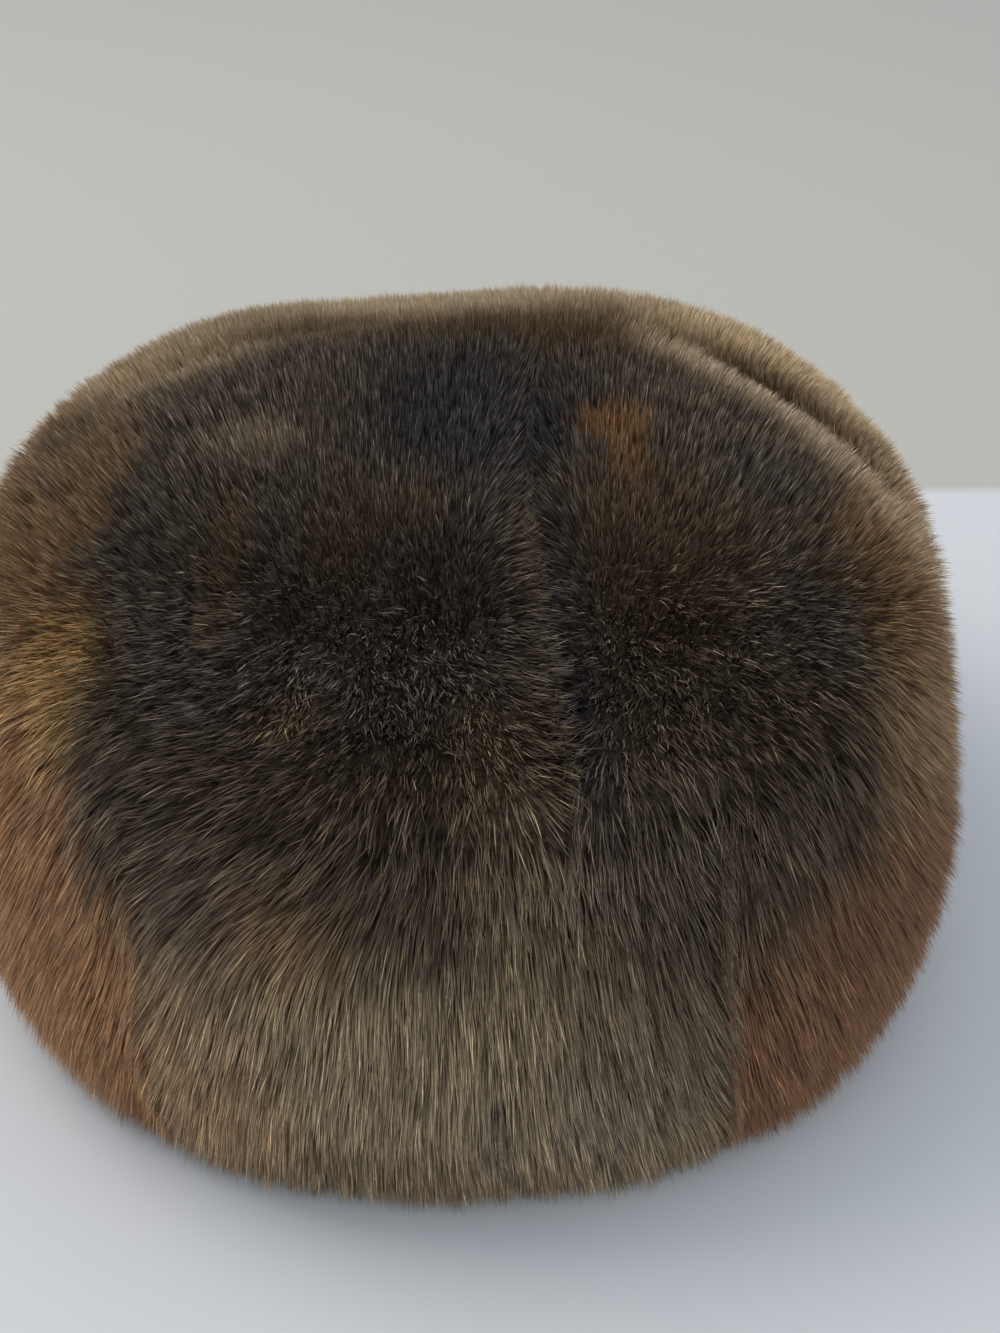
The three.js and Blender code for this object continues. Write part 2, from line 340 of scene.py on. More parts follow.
# Patches of colour, laid one over the other: middle and reach in mm, and soft is the width of the edge as a
# share. Some lie on one pelt only, so that they end at its seams. Power squares a patch's shape, and flare
# widens it towards the back.
patches = [
    {"dyeAndPaintedLight": "tan", "at": (-95, 0, 60), "reach": (42, 150, 90), "soft": 0.5, "much": 0.8},
    {"dyeAndPaintedLight": "tan", "at": (102, 0, 60), "reach": (36, 150, 90), "soft": 0.6, "much": 0.6},
    # The straw patches at the back and on top of the crown are partly the fur's own tan and partly a painted
    # backlit glow along the top edge
    {"dyeAndPaintedLight": "strawAndBacklitGlow", "at": (0, 112, 84), "reach": (104, 52, 44), "soft": 0.6, "much": 0.75},
    {"dyeAndPaintedLight": "strawAndBacklitGlow", "at": (-62, 44, 90), "reach": (24, 22, 20), "soft": 0.8, "much": 0.6},
    {"dyeAndPaintedLight": "strawAndBacklitGlow", "at": (52, 54, 98), "reach": (16, 16, 12), "soft": 0.8, "much": 0.6},
    {"dyeAndPaintedLight": "russet", "at": (-80, -60, 4), "reach": (50, 80, 50), "soft": 0.5, "much": 0.6,
     "on": "band_left"},
    {"dyeAndPaintedLight": "orange", "at": (-70, -76, 44), "reach": (42, 60, 46), "soft": 0.7, "much": 0.85,
     "on": "band_left"},
    {"dyeAndPaintedLight": "greyTan", "at": (-8, -125, 34), "reach": (66, 45, 46), "soft": 0.6, "much": 0.9,
     "on": "band_front"},
    {"dyeAndPaintedLight": "umber", "at": (-52, -103, 44), "reach": (20, 24, 40), "soft": 0.9, "much": 0.6,
     "on": "band_front"},
    {"dyeAndPaintedLight": "bark", "at": (42, -100, 54), "reach": (26, 30, 30), "soft": 1, "much": 0.6,
     "on": "band_front"},
    {"dyeAndPaintedLight": "tan", "at": (-54, -100, 20), "reach": (26, 28, 30), "soft": 0.9, "much": 0.6,
     "on": "band_front"},
    {"dyeAndPaintedLight": "brown", "at": (0, -115, 0), "reach": (80, 40, 22), "soft": 0.9, "much": 0.6,
     "on": "band_front"},
    {"dyeAndPaintedLight": "russet", "at": (72, -88, 18), "reach": (44, 50, 48), "soft": 0.3, "much": 0.95,
     "on": "band_right"},
    {"dyeAndPaintedLight": "dark", "at": (-1, -45, 96), "reach": (69, 84, 36), "power": 5, "flare": 0.14,
     "soft": 0.2, "much": 0.97},
    {"dyeAndPaintedLight": "bark", "at": (-25, -102, 82), "reach": (40, 34, 24), "power": 3, "soft": 0.7, "much": 0.9},
    {"dyeAndPaintedLight": "bark", "at": (30, -98, 80), "reach": (28, 32, 26), "power": 3, "soft": 0.9, "much": 0.65},
    {"dyeAndPaintedLight": "bark", "at": (56, -90, 73), "reach": (13, 30, 13), "power": 3, "soft": 0.3, "much": 0.85},
    {"dyeAndPaintedLight": "greyTan", "at": (9, -108, 68), "reach": (10, 20, 18), "soft": 1, "much": 0.35},
    {"dyeAndPaintedLight": "tan", "at": (-26, -108, 61), "reach": (8, 9, 6), "soft": 1, "much": 0.45},
    {"dyeAndPaintedLight": "orange", "at": (-72, -86, 70), "reach": (12, 18, 15), "soft": 0.7, "much": 0.8},
    {"dyeAndPaintedLight": "tan", "at": (-69, -6, 93), "reach": (10, 22, 12), "soft": 0.9, "much": 0.6},
    {"dyeAndPaintedLight": "bark", "at": (-3, -109, 65), "reach": (8, 10, 8), "soft": 0.9, "much": 0.6},
    {"dyeAndPaintedLight": "dark", "at": (5, -114, 26), "reach": (3, 8, 12), "soft": 0.8, "much": 0.8},
    {"dyeAndPaintedLight": "dark", "at": (24, -112, 32), "reach": (12, 12, 14), "soft": 1, "much": 0.5},
    {"dyeAndPaintedLight": "ink", "at": (-26, -76, 92), "reach": (27, 22, 14), "soft": 0.9, "much": 0.6},
    {"dyeAndPaintedLight": "black", "at": (-10, -66, 99), "reach": (38, 28, 22), "soft": 0.8, "much": 0.7},
    {"dyeAndPaintedLight": "black", "at": (60, -65, 93), "reach": (12, 14, 12), "soft": 0.7, "much": 0.7},
    {"dyeAndPaintedLight": "black", "at": (60, -20, 98), "reach": (11, 12, 10), "soft": 0.7, "much": 0.8},
    {"dyeAndPaintedLight": "ink", "at": (6, 0, 103), "reach": (25, 36, 16), "soft": 0.7, "much": 0.9},
    {"dyeAndPaintedLight": "black", "at": (-56, -42, 97), "reach": (7, 22, 14), "soft": 0.8, "much": 0.5},
    {"dyeAndPaintedLight": "umber", "at": (-19, -53, 102), "reach": (8, 20, 12), "soft": 0.8, "much": 0.6},
    {"dyeAndPaintedLight": "umber", "at": (-6, -41, 104), "reach": (6, 10, 12), "soft": 0.8, "much": 0.6},
    {"dyeAndPaintedLight": "umber", "at": (4, -95, 88), "reach": (6, 8, 8), "soft": 0.8, "much": 0.45},
    {"dyeAndPaintedLight": "umber", "at": (-39, -57, 97), "reach": (4, 26, 10), "soft": 0.6, "much": 0.9},
    {"dyeAndPaintedLight": "umber", "at": (34, -52, 98), "reach": (20, 30, 12), "soft": 0.9, "much": 0.7},
    {"dyeAndPaintedLight": "rust", "at": (32, -4, 100), "reach": (7, 9, 12), "soft": 0.9, "much": 1},
    {"dyeAndPaintedLight": "rust", "at": (33, -20, 100), "reach": (4, 9, 8), "soft": 0.9, "much": 0.8},
    {"dyeAndPaintedLight": "pale", "at": (-39, -14, 102), "reach": (9, 8, 10), "soft": 0.9, "much": 0.35},
    {"dyeAndPaintedLight": "goldAndHighlight", "at": (-25, -89, 86), "reach": (7, 6, 4), "soft": 0.9, "much": 0.3},
    # This gold spot on the left of the crown's front is a painted highlight
    {"dyeAndPaintedLight": "goldAndHighlight", "at": (-66, -73, 86), "reach": (8, 16, 12), "soft": 0.8, "much": 0.85},
]

# Colour beside the crown's seams: how far to the left of the seam it lies and how broad it is, in mm, and
# from where to where it goes in shares of the seam's run
seamTints = [
    {"dyeAndPaintedLight": "umber", "seam": "front", "aside": -3.5, "broad": 3.5, "from": 0.6, "to": 0.92, "much": 0.45},
    {"dyeAndPaintedLight": "ink", "seam": "front", "aside": 5, "broad": 4, "from": 0.55, "to": 0.95, "much": 0.7},
    # The straw on the rear side of the right seam is partly the lobe's own tan and partly a painted backlit
    # glow
    {"dyeAndPaintedLight": "strawAndBacklitGlow", "seam": "right", "aside": 20, "broad": 20, "from": 0.12, "to": 1.1, "much": 0.95},
    # The brown along the right seam is painted shade in its groove
    {"dyeAndPaintedLight": "brown", "seam": "right", "aside": 3, "broad": 4, "from": 0.3, "to": 0.9, "much": 0.4},
    # The pale on the front side of the right seam is a painted highlight along the ridge's crest
    {"dyeAndPaintedLight": "pale", "seam": "right", "aside": -8, "broad": 11, "from": 0.26, "to": 1.05, "much": 0.6},
]

# How the edges of patches and tints wander: shares of their reach, and the sizes of the noise in metres;
# streaks are longer than wide, so that they lie along the nap
edges = {
    "wander": 0.16, "wanderSize": 0.016, "fray": 0.08, "fraySize": 0.005,
    "streak": 0.1, "streakWidth": 0.0022, "streakSquash": (1, 0.25, 0.25),
    "tintWander": 0.2, "tintWanderSize": 0.008, "tintFull": 0.4, "tintEnd": 1.2, "tintRamp": 0.05,
    "crownFrom": 0.070, "crownFull": 0.082,   # the levels between which the crown's tints fade in
}


def furDyeAndPaintedLight(points, name):
    # Shaft and tip colours where a pelt's hair grows, with the painted light and shade that some patches and
    # tints carry: each patch is mixed in by its mask, whose edge wanders by noise and breaks up into streaks
    # along the nap
    inMm = points / mm
    shaft, tip = (np.broadcast_to(linear(colour), points.shape).copy() for colour in dyesAndPaintedLight["brown"])
    streaks = edges["streak"] * cloud(points * edges["streakSquash"], edges["streakWidth"], 30)
    masks = []
    for number, patch in enumerate(patches):
        if patch.get("on", name) != name:
            continue
        power = patch.get("power", 2)
        away = (inMm - patch["at"]) / patch["reach"]
        away[:, 0] /= 1 + patch.get("flare", 0) * np.clip(away[:, 1], -1, 1)
        away = abs(away)
        far = (away**power).sum(axis=-1) ** (1 / power) + streaks
        far = far + edges["wander"] * cloud(points, edges["wanderSize"], 40 + number)
        far = far + edges["fray"] * cloud(points, edges["fraySize"], 80 + number)
        masks.append((patch, 1 - ease(1 - patch["soft"] / 2, 1 + patch["soft"] / 2, far)))
    onCrown = ease(edges["crownFrom"], edges["crownFull"], points[:, 2])
    ramp = edges["tintRamp"]
    for number, tint in enumerate(seamTints):
        aside, run = asideOf(crownSeams[tint["seam"]], points)
        far = abs(aside / mm - tint["aside"]) / tint["broad"]
        far = far + edges["tintWander"] * cloud(points, edges["tintWanderSize"], 70 + number)
        along = ease(tint["from"] - ramp, tint["from"] + ramp, run)
        along = along * ease(tint["to"] + ramp, tint["to"] - ramp, run)
        masks.append((tint, (1 - ease(edges["tintFull"], edges["tintEnd"], far)) * along * onCrown))
    for layer, mask in masks:
        share = (layer["much"] * mask)[..., None]
        newShaft, newTip = (linear(colour) for colour in dyesAndPaintedLight[layer["dyeAndPaintedLight"]])
        shaft = shaft + (newShaft - shaft) * share
        tip = tip + (newTip - tip) * share
    return shaft, tip


# Meshes from arrays

def makeMesh(name, points, faces, uvs=None, uvName="strand", colours=None):
    # Points are rows of x, y, z; faces are rows of corner numbers, triangles or quads of one kind
    mesh = bpy.data.meshes.new(name)
    corners = faces.shape[1]
    mesh.vertices.add(len(points))
    mesh.vertices.foreach_set("co", np.ascontiguousarray(points, np.float32).ravel())
    mesh.loops.add(faces.size)
    mesh.loops.foreach_set("vertex_index", np.ascontiguousarray(faces, np.int32).ravel())
    mesh.polygons.add(len(faces))
    mesh.polygons.foreach_set("loop_start", np.arange(0, faces.size, corners, dtype=np.int32))
    mesh.update(calc_edges=True)
    mesh.polygons.foreach_set("use_smooth", np.ones(len(faces), bool))
    if uvs is not None:
        layer = mesh.uv_layers.new(name=uvName)
        layer.data.foreach_set("uv", np.ascontiguousarray(uvs[faces.ravel()], np.float32).ravel())
    if colours is not None:
        rgba = np.concatenate([colours, np.ones((len(colours), 1))], axis=-1).astype(np.float32)
        mesh.color_attributes.new("furColour", "FLOAT_COLOR", "POINT").data.foreach_set("color", rgba.ravel())
    made = bpy.data.objects.new(name, mesh)
    bpy.context.scene.collection.objects.link(made)
    return made


def addNode(tree, kind, settings=None, values=None, links=None):
    # Adds a node, sets its properties and socket values, and links other nodes' sockets into it
    node = tree.nodes.new(kind)
    for key, value in (settings or {}).items():
        setattr(node, key, value)
    for key, value in (values or {}).items():
        node.inputs[key].default_value = value
    for key, socket in (links or {}).items():
        tree.links.new(socket, node.inputs[key])
    return node


def newMaterial(name):
    material = bpy.data.materials.new(name)
    material.use_nodes = True
    material.node_tree.nodes.clear()
    return material, material.node_tree


def hairMaterial():
    # Guard hair of a dyed pelt: each shaft is smooth keratin, so it glints a little along its length,
    # and its colour comes from the hair's own place on the pelt
    material, tree = newMaterial("guard_hair")
    dyeAndPaintedLight = addNode(tree, "ShaderNodeAttribute", {"attribute_name": "furColour"})
    place = addNode(tree, "ShaderNodeTexCoord")
    streak = addNode(
        tree, "ShaderNodeTexNoise", values={"Scale": 0.9 / mm, "Detail": 2},
        links={"Vector": place.outputs["Object"]},
    )
    shade = addNode(
        tree, "ShaderNodeMapRange", values={"From Min": 0.3, "From Max": 0.7, "To Min": 0.8, "To Max": 1.2},
        links={"Value": streak.outputs["Fac"]},
    )
    colour = addNode(
        tree, "ShaderNodeVectorMath", {"operation": "SCALE"},
        links={"Vector": dyeAndPaintedLight.outputs["Color"], "Scale": shade.outputs["Result"]},
    )
    shader = addNode(
        tree, "ShaderNodeBsdfPrincipled",
        values={"Roughness": 0.5, "IOR": 1.55, "Specular IOR Level": 0.2},
        links={"Base Color": colour.outputs["Vector"]},
    )
    addNode(tree, "ShaderNodeOutputMaterial", links={"Surface": shader.outputs["BSDF"]})
    return material


def underfurMaterial():
    # Underfur is soft, crimped and matt, so it takes the light evenly; the colour it reads carries painted
    # shade for the depth of the pile between the guard hairs
    material, tree = newMaterial("underfur")
    dyeAndPaintedLight = addNode(tree, "ShaderNodeAttribute", {"attribute_name": "furColour"})
    place = addNode(tree, "ShaderNodeTexCoord")
    crimp = addNode(
        tree, "ShaderNodeTexNoise", values={"Scale": 1 / (1.2 * mm), "Detail": 3},
        links={"Vector": place.outputs["Object"]},
    )
    shade = addNode(
        tree, "ShaderNodeMapRange", values={"From Min": 0.3, "From Max": 0.7, "To Min": 0.5, "To Max": 1.3},
        links={"Value": crimp.outputs["Fac"]},
    )
    colour = addNode(
        tree, "ShaderNodeVectorMath", {"operation": "SCALE"},
        links={"Vector": dyeAndPaintedLight.outputs["Color"], "Scale": shade.outputs["Result"]},
    )
    bump = addNode(
        tree, "ShaderNodeBump", values={"Strength": 0.8, "Distance": 0.6 * mm},
        links={"Height": crimp.outputs["Fac"]},
    )
    shader = addNode(
        tree, "ShaderNodeBsdfPrincipled", values={"Roughness": 0.95, "Specular IOR Level": 0.1},
        links={"Base Color": colour.outputs["Vector"], "Normal": bump.outputs["Normal"]},
    )
    addNode(tree, "ShaderNodeOutputMaterial", links={"Surface": shader.outputs["BSDF"]})
    return material


def hideMaterial():
    # The flesh side of a tanned pelt is a fine buff suede, a little blotched where the dye came through
    material, tree = newMaterial("suede_hide")
    place = addNode(tree, "ShaderNodeTexCoord")
    blotch = addNode(
        tree, "ShaderNodeTexNoise", values={"Scale": 1 / (22 * mm), "Detail": 4},
        links={"Vector": place.outputs["Object"]},
    )
    nap = addNode(
        tree, "ShaderNodeTexNoise", values={"Scale": 1 / (0.5 * mm), "Detail": 4},
        links={"Vector": place.outputs["Object"]},
    )
    ramp = addNode(tree, "ShaderNodeValToRGB", links={"Fac": blotch.outputs["Fac"]})
    ramp.color_ramp.elements[0].position = 0.35
    ramp.color_ramp.elements[0].color = (*linear("#8a6f52"), 1)
    ramp.color_ramp.elements[1].position = 0.7
    ramp.color_ramp.elements[1].color = (*linear("#b89c78"), 1)
    bump = addNode(
        tree, "ShaderNodeBump", values={"Strength": 0.5, "Distance": 0.3 * mm},
        links={"Height": nap.outputs["Fac"]},
    )
    shader = addNode(
        tree, "ShaderNodeBsdfPrincipled",
        values={"Roughness": 0.9, "Specular IOR Level": 0.2, "Sheen Weight": 0.2},
        links={"Base Color": ramp.outputs["Color"], "Normal": bump.outputs["Normal"]},
    )
    addNode(tree, "ShaderNodeOutputMaterial", links={"Surface": shader.outputs["BSDF"]})
    return material


hairFinish, underfurFinish, hideFinish = hairMaterial(), underfurMaterial(), hideMaterial()

# The underfur: how far its top lies below the tips, its own small locks, and how it rounds in at the rim
underfur = {
    "grid": 0.003,
    "bandDepth": 0.0078, "crownDepth": 0.0058,
    "deepBelow": 0.066, "shallowAbove": 0.094,   # the levels of the band's depth and of the crown's
    "lumps": 0.0009, "lumpSize": 0.008, "smallLumps": 0.6, "smallLumpSize": 0.0035,
    "rimRounding": 0.006, "rimRise": 0.09,       # the second is a share of the band's height
    # The shade darkens the underfur's colour as painted shade deep in the pile under the guard hairs
    "tipShare": 0.3, "shade": 0.42,              # the shafts' colour with a share of the tips', darkened
}


def peltSpan(pelt):
    # The pelt's greatest width and rise over the tips, measured along its own rows and columns
    line = np.linspace(0, 1, 65)
    across, up = np.meshgrid(line, line)
    tips = placeOn(pelt, across, up, 0)
    width = np.linalg.norm(np.diff(tips, axis=1), axis=-1).sum(axis=1)
    rise = np.linalg.norm(np.diff(tips, axis=0), axis=-1).sum(axis=0)
    return line, width, rise


def underfurDepth(pelt, across, up):
    tips = placeOn(pelt, across, up, 0)
    flat = tips.reshape(-1, 3)
    lumps = cloud(flat, underfur["lumpSize"], 5)
    lumps = (lumps + underfur["smallLumps"] * cloud(flat, underfur["smallLumpSize"], 6)).reshape(across.shape)
    low = ease(underfur["shallowAbove"], underfur["deepBelow"], tips[..., 2])
    depth = underfur["crownDepth"] + (underfur["bandDepth"] - underfur["crownDepth"]) * low
    depth = depth + underfur["lumps"] * lumps
    if pelt["kind"] == "band":
        depth = depth + underfur["rimRounding"] * np.clip(1 - up / underfur["rimRise"], 0, 1) ** 2
    return depth


def makeUnderfur(name, pelt):
    # A closed pelt: the underfur's surface outside, the hide's inside, and a wall round the edge between them
    line, width, rise = peltSpan(pelt)
    columns = round(width.max() / underfur["grid"])
    rows = round(rise.max() / underfur["grid"])
    across, up = np.meshgrid(np.linspace(0, 1, columns + 1), np.linspace(0, 1, rows + 1))
    outer = placeOn(pelt, across, up, underfurDepth(pelt, across, up))
    inner = placeOn(pelt, across, up, hat["peltDepth"])
    points = np.concatenate([outer.reshape(-1, 3), inner.reshape(-1, 3)])
    number = np.arange((rows + 1) * (columns + 1)).reshape(rows + 1, columns + 1)
    a, b, c, d = number[:-1, :-1], number[:-1, 1:], number[1:, 1:], number[1:, :-1]
    outside = np.stack([a, b, c, d], axis=-1).reshape(-1, 4)
    inside = outside[:, ::-1] + number.size
    edge = np.concatenate([number[0, :], number[1:, -1], number[-1, -2::-1], number[-2:0:-1, 0]])
    ahead = np.roll(edge, -1)
    wall = np.stack([edge, edge + number.size, ahead + number.size, ahead], axis=-1)
    faces = np.concatenate([outside, inside, wall])
    shaft, tip = furDyeAndPaintedLight(points, name)
    # Painted shade: the underfur's colour is darkened for the depth of the pile
    colours = (shaft + (tip - shaft) * underfur["tipShare"]) * underfur["shade"]
    made = makeMesh(name + "_pelt", points, faces, colours=colours)
    made.data.materials.append(underfurFinish)
    made.data.materials.append(hideFinish)
    kinds = np.zeros(len(faces), np.int32)
    kinds[len(outside):len(outside) + len(inside)] = 1
    made.data.polygons.foreach_set("material_index", kinds)
    return made


# The hairs stand in small tufts. Lengths are shares of the underfur's depth below the tips, and a pair is the
# range of a random value. The two shades are spreads of normal ones.
hairs = {
    "tuftSpacing": 0.0023, "jitter": (0.1, 0.9), "perTuft": 15, "spread": 0.8,
    "rootBelow": 0.0006, "sides": (0.001, 0.999), "levels": (0.001, 0.992),   # where they may stand
    "lengths": (0.72, 1.08), "tuftLengths": (0.86, 1.1),
    "bendRise": 0.6, "bendLie": 0.38,      # where a hair bends: shares of its rise and its lie
    "pull": 0.24, "pulls": (0.3, 1.2),     # how far a tip is drawn to the tip of its tuft
    "bendPull": 0.35,                      # and what share of that the bend takes
    "width": 0.000225, "widths": (0.7, 1.25), "bendWidth": 0.85, "twist": 0.35,
    "floor": 0.0004, "lowest": 0.0002, "leastDrop": 0.1,
    "stray": (0.001, 0.002, 0.003),        # how far from its root a hair takes its colour
    "tuftShade": 0.12, "hairShade": 0.34,
    "frostShare": 0.3, "frosted": (0.6, 1), "plain": (0, 0.25),   # hairs whose pale tip reaches far down
    # rootShade darkens the root end of each hair as painted shade deep in the pile
    "rootShade": 0.5, "bendFrost": 0.4, "tipLeast": 0.15,
}

# The coat is plusher, so its shades vary less, at the sides (in metres from the middle) and behind
plush = {"share": 0.45, "sides": (0.050, 0.085), "behind": (0.0, 0.07)}

# How far the hair lies over, in shares of its rise: a little on top and behind, more on the crown's front and
# down the band; then by how much that varies in patches, from tuft to tuft and from hair to hair
leans = {
    "least": 0.1, "front": 0.65, "frontFade": (-0.025, -0.080), "low": 0.25, "lowFade": (0.080, 0.045),
    "patches": 0.22, "patchSize": 0.012, "tufts": 0.14, "hairs": 0.15,
}

# The hair is unruly on the crown and hangs straighter down the band, between these levels
calming = {"share": 0.65, "fade": (0.078, 0.058)}

# Radians by which the nap wanders, in broad and in narrow patches and from tuft to tuft and hair to hair
wander = {"broad": 0.22, "broadSize": 0.030, "narrow": 0.20, "narrowSize": 0.010, "hairs": 0.16}

# Beside the front seam of the crown the hair lies into the seam from both sides
seamNap = {
    "turn": 0.85, "reach": 0.008, "within": 0.0015, "runFade": (0.35, 0.55), "levelFade": (0.070, 0.084),
}

# Where the nap turns aside: radians to the left of its own run, positive towards +X at the front
turns = [
    {"at": (-33, -106, 71), "reach": (34, 34, 24), "by": -0.9},
    {"at": (-48, -80, 84), "reach": (24, 40, 26), "by": -0.3},
    {"at": (-29, -91, 92), "reach": (13, 11, 9), "by": 0.7},
]


def napLean(points):
    front = ease(*leans["frontFade"], points[:, 1])
    low = ease(*leans["lowFade"], points[:, 2])
    return leans["least"] + leans["front"] * front + leans["low"] * low


def calm(points):
    # What is left of the wandering at a point
    return 1 - calming["share"] * ease(*calming["fade"], points[:, 2])


def napTurn(points):
    inMm = points / mm
    turn = wander["broad"] * cloud(points, wander["broadSize"], 11)
    turn = (turn + wander["narrow"] * cloud(points, wander["narrowSize"], 12)) * calm(points)
    for patch in turns:
        far = np.linalg.norm((inMm - patch["at"]) / patch["reach"], axis=-1)
        turn = turn + patch["by"] * (1 - ease(0.2, 1, far))
    side, run = asideOf(crownSeams["front"], points)
    onCrown = ease(*seamNap["levelFade"], points[:, 2]) * ease(*seamNap["runFade"], run)
    near = np.exp(-((side / seamNap["reach"]) ** 2)) * onCrown
    return turn - seamNap["turn"] * np.tanh(side / seamNap["within"]) * near


def growHairs(name, pelt, seed):
    # Tufts stand on a jittered grid over the pelt. A hair is a tapering blade of a quad and a point: it rises
    # from the underfur, bends down the nap, and its tip is drawn towards the tip of its tuft
    rng = np.random.default_rng(seed)
    line, width, rise = peltSpan(pelt)
    rows = max(1, round(rise.max() / hairs["tuftSpacing"]))
    level = (np.arange(rows) + 0.5) / rows
    counts = np.maximum(1, np.round(np.interp(level, line, width) / hairs["tuftSpacing"])).astype(int)
    row = np.repeat(np.arange(rows), counts)
    column = np.arange(len(row)) - np.repeat(np.cumsum(counts) - counts, counts)
    perRow = counts[row]
    tuftAcross = (column + rng.uniform(*hairs["jitter"], len(row))) / perRow
    tuftUp = (row + rng.uniform(*hairs["jitter"], len(row))) / rows
    kept = rng.uniform(0, 1, len(row)) < np.interp(tuftAcross, line, rise) / rise.max()
    tuftAcross, tuftUp, perRow = tuftAcross[kept], tuftUp[kept], perRow[kept]
    tufts = len(tuftAcross)

    owner = np.repeat(np.arange(tufts), hairs["perTuft"])
    offset = rng.uniform(-hairs["spread"], hairs["spread"], (len(owner), 2))
    across = np.clip(tuftAcross[owner] + offset[:, 0] / perRow[owner], *hairs["sides"])
    up = np.clip(tuftUp[owner] + offset[:, 1] / rows, *hairs["levels"])

    # All the tufts first, then all the hairs: where they stand, their nap, lean and length
    allAcross, allUp = np.concatenate([tuftAcross, across]), np.concatenate([tuftUp, up])
    depth = underfurDepth(pelt, allAcross, allUp)
    root = placeOn(pelt, allAcross, allUp, depth + hairs["rootBelow"])
    normal, nap = leanFrame(pelt, allAcross, allUp)
    tuftOf = np.concatenate([np.arange(tufts), owner])
    strayed = wander["hairs"] * calm(root)
    turn = napTurn(root) + strayed * rng.normal(0, 1, tufts)[tuftOf]
    turn[tufts:] += strayed[tufts:] * rng.normal(0, 1, len(owner))
    uneven = 1 + leans["patches"] * cloud(root, leans["patchSize"], 21)
    lean = napLean(root) * (uneven + rng.normal(0, leans["tufts"], tufts)[tuftOf])
    lean[tufts:] *= 1 + rng.normal(0, leans["hairs"], len(owner))
    length = depth * rng.uniform(*hairs["tuftLengths"], tufts)[tuftOf]
    length[tufts:] *= rng.uniform(*hairs["lengths"], len(owner))
    aside = np.cross(normal, nap)
    nap = nap * np.cos(turn)[:, None] + aside * np.sin(turn)[:, None]

    # The bend and the tip. No hair reaches below the rim: the last of its drop is left out, so it splays out
    lie = lean * length
    drop = -(nap[:, 2] * lie + normal[:, 2] * length)
    lie = lie * np.clip((root[:, 2] - hairs["floor"]) / np.maximum(drop, 1e-6), hairs["leastDrop"], 1)
    bend = root + normal * (hairs["bendRise"] * length)[:, None] + nap * (hairs["bendLie"] * lie)[:, None]
    end = root + normal * length[:, None] + nap * lie[:, None]

    tuftBend, tuftEnd = bend[:tufts][owner], end[:tufts][owner]
    root, bend, end, normal = root[tufts:], bend[tufts:], end[tufts:], normal[tufts:]
    pull = hairs["pull"] * rng.uniform(*hairs["pulls"], (len(owner), 1))
    bend = bend + (tuftBend - bend) * pull * hairs["bendPull"]
    end = end + (tuftEnd - end) * pull
    bend[:, 2] = np.maximum(bend[:, 2], hairs["floor"])
    end[:, 2] = np.maximum(end[:, 2], hairs["floor"])

    # The blade's width lies across the hair, turned by a random twist
    course = unit(end - root)
    flat = unit(np.cross(course, normal + rng.normal(0, hairs["twist"], normal.shape)))
    half = flat * (hairs["width"] / 2 * rng.uniform(*hairs["widths"], (len(owner), 1)))
    bendHalf = half * hairs["bendWidth"]
    points = np.stack([root - half, root + half, bend + bendHalf, bend - bendHalf, end], axis=1)
    points[..., 2] = np.maximum(points[..., 2], hairs["lowest"])

    # Colours: the fur's colour at the root, darker low down as painted shade deep in the pile, with the
    # tuft's and the hair's own shade
    shaft, tip = furDyeAndPaintedLight(root + rng.normal(0, hairs["stray"], root.shape), name)
    plushness = np.maximum(ease(*plush["sides"], abs(root[:, 0])), ease(*plush["behind"], root[:, 1]))
    shade = rng.normal(0, hairs["tuftShade"], tufts)[owner] + rng.normal(0, hairs["hairShade"], len(owner))
    shade = np.exp((1 - plush["share"] * plushness) * shade)[:, None]
    frosted = rng.uniform(0, 1, (len(owner), 1)) < hairs["frostShare"]
    frost = np.where(
        frosted,
        rng.uniform(*hairs["frosted"], (len(owner), 1)),
        rng.uniform(*hairs["plain"], (len(owner), 1)),
    )
    tipFrost = hairs["tipLeast"] + (1 - hairs["tipLeast"]) * frost
    low = shaft * hairs["rootShade"] * shade
    mid = (shaft + (tip - shaft) * hairs["bendFrost"] * frost) * shade
    top = (shaft + (tip - shaft) * tipFrost) * shade
    colours = np.stack([low, low, mid, mid, top], axis=1)

    # Each hair has its own small cell in the UV map
    cellsWide = int(math.sqrt(len(owner) * 2.5)) + 1
    cellsHigh = len(owner) // cellsWide + 1
    cell = np.arange(len(owner))
    corner = np.stack([cell % cellsWide, cell // cellsWide], axis=-1)[:, None, :]
    within = np.array([(0.2, 0.1), (0.8, 0.1), (0.8, 0.5), (0.2, 0.5), (0.5, 0.92)])
    uvs = (corner + within) / (cellsWide, cellsHigh)

    base = (cell * 5)[:, None]
    faces = np.concatenate([base + (0, 1, 2), base + (0, 2, 3), base + (3, 2, 4)])
    made = makeMesh(
        name + "_hairs", points.reshape(-1, 3), faces, uvs.reshape(-1, 2), "OFBake", colours.reshape(-1, 3),
    )
    made.data.materials.append(hairFinish)
    return made


total = 0
for seed, (name, pelt) in enumerate(pelts.items()):
    skin = makeUnderfur(name, pelt)
    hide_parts(name)
    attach(skin, "root")
    coat = growHairs(name, pelt, 100 + seed)
    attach(coat, "root")
    total += len(skin.data.polygons) * 2 + len(coat.data.polygons)
    print(name, "pelt", len(skin.data.polygons) * 2, "and hairs", len(coat.data.polygons), "triangles")
print("pelts and hairs in all", total, "triangles")


# The table, the light and the camera

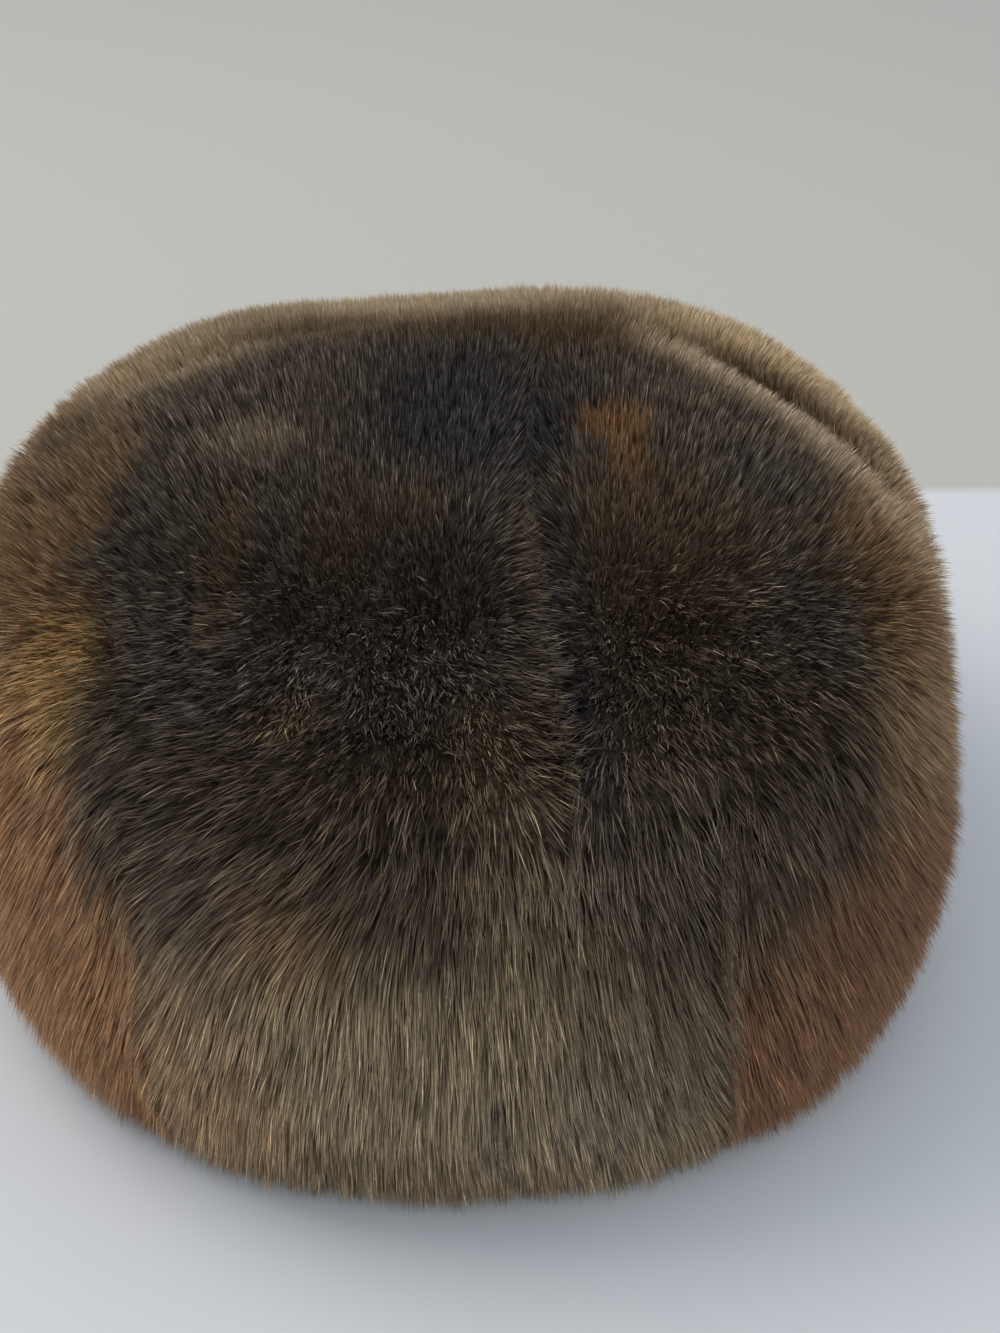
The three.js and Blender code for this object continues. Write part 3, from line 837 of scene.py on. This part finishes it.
studio = {
    "floor": "#cdced0", "floorFar": "#b6b3ab", "farFrom": 0.173,   # the bluer sheet ends behind the hat
    "world": "#ccd4dd", "worldStrength": 1.15,
    "keyAt": (-0.8, 0.25, 1.25), "keySize": 0.9, "keyPower": 10, "keyColour": "#fff6ea",
    "fillAt": (0.3, -1.2, 0.9), "fillSize": 1.2, "fillPower": 4,
}
camera = {
    "distance": 0.4, "aimHeight": 0.05, "elevation": 30, "lens": 51.1, "turnRight": 1.33, "turnDown": 0.83,
}


def makeFloor():
    side = 4.0
    points = np.array([(-side, -side, 0), (side, -side, 0), (side, side, 0), (-side, side, 0)], float)
    floor = makeMesh("table", points, np.array([[0, 1, 2, 3]]))
    material, tree = newMaterial("matt_table_paper")
    place = addNode(tree, "ShaderNodeTexCoord")
    split = addNode(tree, "ShaderNodeSeparateXYZ", links={"Vector": place.outputs["Object"]})
    far = addNode(
        tree, "ShaderNodeMapRange",
        values={"From Min": studio["farFrom"] - 2 * mm, "From Max": studio["farFrom"] + 4 * mm},
        links={"Value": split.outputs["Y"]},
    )
    tone = addNode(tree, "ShaderNodeMix", {"data_type": "RGBA"}, links={"Factor": far.outputs["Result"]})
    tone.inputs["A"].default_value = (*linear(studio["floor"]), 1)
    tone.inputs["B"].default_value = (*linear(studio["floorFar"]), 1)
    shader = addNode(
        tree, "ShaderNodeBsdfPrincipled", values={"Roughness": 0.8, "Specular IOR Level": 0.2},
        links={"Base Color": tone.outputs["Result"]},
    )
    addNode(tree, "ShaderNodeOutputMaterial", links={"Surface": shader.outputs["BSDF"]})
    floor.data.materials.append(material)


def addLight(name, place, size, power, colour="#ffffff"):
    light = bpy.data.lights.new(name, "AREA")
    light.size, light.energy, light.color = size, power, linear(colour)
    made = bpy.data.objects.new(name, light)
    bpy.context.scene.collection.objects.link(made)
    made.location = place
    made.rotation_mode = "QUATERNION"
    made.rotation_quaternion = (Vector((0, 0, camera["aimHeight"])) - Vector(place)).to_track_quat("-Z", "Y")


def makeCamera():
    # Looks at the middle of the hat, then turns a little to the right and down, as the photograph is framed
    rise = math.radians(camera["elevation"])
    back = Vector((0, -math.cos(rise), math.sin(rise)))
    right, above = Vector((1, 0, 0)), Vector((0, math.sin(rise), math.cos(rise)))
    look = (-back + right * math.tan(math.radians(camera["turnRight"]))
            - above * math.tan(math.radians(camera["turnDown"])))
    data = bpy.data.cameras.new("camera")
    data.lens = camera["lens"]
    data.clip_start = 0.01
    made = bpy.data.objects.new("camera", data)
    bpy.context.scene.collection.objects.link(made)
    made.location = Vector((0, 0, camera["aimHeight"])) + back * camera["distance"]
    made.rotation_mode = "QUATERNION"
    made.rotation_quaternion = look.to_track_quat("-Z", "Y")
    bpy.context.scene.camera = made


makeFloor()
addLight("key", studio["keyAt"], studio["keySize"], studio["keyPower"], studio["keyColour"])
addLight("fill", studio["fillAt"], studio["fillSize"], studio["fillPower"])
makeCamera()
world = bpy.data.worlds.new("studio")
world.use_nodes = True
world.node_tree.nodes["Background"].inputs["Color"].default_value = (*linear(studio["world"]), 1)
world.node_tree.nodes["Background"].inputs["Strength"].default_value = studio["worldStrength"]
bpy.context.scene.world = world
bpy.context.scene.view_settings.view_transform = "Standard"
print("table, light and camera made")
